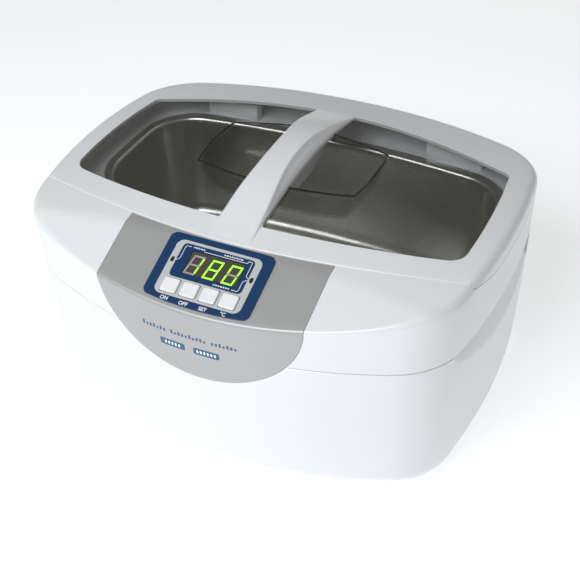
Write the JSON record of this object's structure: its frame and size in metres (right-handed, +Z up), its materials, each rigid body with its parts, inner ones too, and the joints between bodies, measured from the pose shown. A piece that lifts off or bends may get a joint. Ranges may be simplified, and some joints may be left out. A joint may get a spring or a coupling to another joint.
{
  "type": "ultrasonic cleaner",
  "caption": "Benchtop ultrasonic cleaner with a bowed plastic casing, a hinged windowed lid with a bridge handle, a steel tank and a sloped control panel.",
  "frame": {"origin": "on the surface the machine stands on, under the middle of its outer box", "axes": "+X to the machine's right as seen from behind the panel (viewer's right when facing the panel), +Y to the rear where the lid hinges, +Z up"},
  "size_m": [0.2998, 0.2485, 0.1678],
  "materials": {
    "white_plastic": "smooth moulded white plastic, light gloss",
    "smoked_window": "smoked see-through moulding, polished",
    "tank_steel": "deep-drawn stainless steel, satin",
    "seal_rubber": "black rubber",
    "aluminium": "machined or extruded aluminium",
    "fascia_silver": "silver painted plastic, fine metallic grain",
    "overlay_blue": "printed film, dark blue",
    "button_white": "white plastic",
    "display_lens": "dark tinted window",
    "circuit_board": "green laminate",
    "black_plastic": "black moulded plastic",
    "plated_steel": "zinc plated steel",
    "piezo_ceramic": "fired ceramic, dark grey",
    "winding": "copper winding under yellow tape",
    "heater_silicone": "orange silicone sheet"
  },
  "bodies": {
    "housing": {"lower_housing": "white_plastic", "upper_housing": "white_plastic", "hinge_pin_left": "plated_steel", "hinge_pin_right": "plated_steel", "tank": "tank_steel", "tank_seal": "seal_rubber", "transducer_left_head": "aluminium", "transducer_left_upper_ring": "piezo_ceramic", "transducer_left_lower_ring": "piezo_ceramic", "transducer_left_tail": "plated_steel", "transducer_left_bolt": "plated_steel", "transducer_right_head": "aluminium", "transducer_right_upper_ring": "piezo_ceramic", "transducer_right_lower_ring": "piezo_ceramic", "transducer_right_tail": "plated_steel", "transducer_right_bolt": "plated_steel", "heater_pad": "heater_silicone", "thermal_cutout": "black_plastic", "filter_capacitor": "black_plastic", "drive_transistor_left": "black_plastic", "drive_transistor_right": "black_plastic", "heater_relay": "black_plastic", "main_board": "circuit_board", "display_board": "circuit_board", "transformer_core": "plated_steel", "transformer_winding": "winding", "heat_sink": "aluminium", "control_fascia": "fascia_silver", "control_overlay": "overlay_blue", "display_lens": "display_lens", "display_module": "black_plastic", "switch_on": "black_plastic", "switch_off": "black_plastic", "switch_set": "black_plastic", "switch_temperature": "black_plastic", "power_inlet": "black_plastic", "inlet_pin_line": "plated_steel", "inlet_pin_earth": "plated_steel", "inlet_pin_neutral": "plated_steel", "fan_frame": "black_plastic", "foot_1": "seal_rubber", "foot_screw_1": "plated_steel", "casing_screw_1": "plated_steel", "foot_2": "seal_rubber", "foot_screw_2": "plated_steel", "casing_screw_2": "plated_steel", "foot_3": "seal_rubber", "foot_screw_3": "plated_steel", "casing_screw_3": "plated_steel", "foot_4": "seal_rubber", "foot_screw_4": "plated_steel", "casing_screw_4": "plated_steel"},
    "lid": {"lid_frame": "white_plastic", "lid_window": "smoked_window"},
    "fan": {"fan_rotor": "black_plastic"},
    "on_button": {"button_on": "button_white"},
    "off_button": {"button_off": "button_white"},
    "set_button": {"button_set": "button_white"},
    "temperature_button": {"button_temperature": "button_white"}
  },
  "joints": [
    {"name": "lid_hinge", "type": "hinge", "parent": "housing", "child": "lid", "pos_m": [0, 0.1211, 0.1294], "axis": [-1, 0, 0], "range_deg": [0, 90]},
    {"name": "fan_spin", "type": "hinge", "parent": "housing", "child": "fan", "pos_m": [-0.06, 0.0942, 0.052], "axis": [0, 1, 0], "continuous": true},
    {"name": "on_button_press", "type": "slide", "parent": "housing", "child": "on_button", "axis": [0, 0.3714, -0.9285], "range_m": [0, 0.0008], "stiffness_N_per_m": 400},
    {"name": "off_button_press", "type": "slide", "parent": "housing", "child": "off_button", "axis": [0, 0.3714, -0.9285], "range_m": [0, 0.0008], "stiffness_N_per_m": 400},
    {"name": "set_button_press", "type": "slide", "parent": "housing", "child": "set_button", "axis": [0, 0.3714, -0.9285], "range_m": [0, 0.0008], "stiffness_N_per_m": 400},
    {"name": "temperature_button_press", "type": "slide", "parent": "housing", "child": "temperature_button", "axis": [0, 0.3714, -0.9285], "range_m": [0, 0.0008], "stiffness_N_per_m": 400}
  ]
}
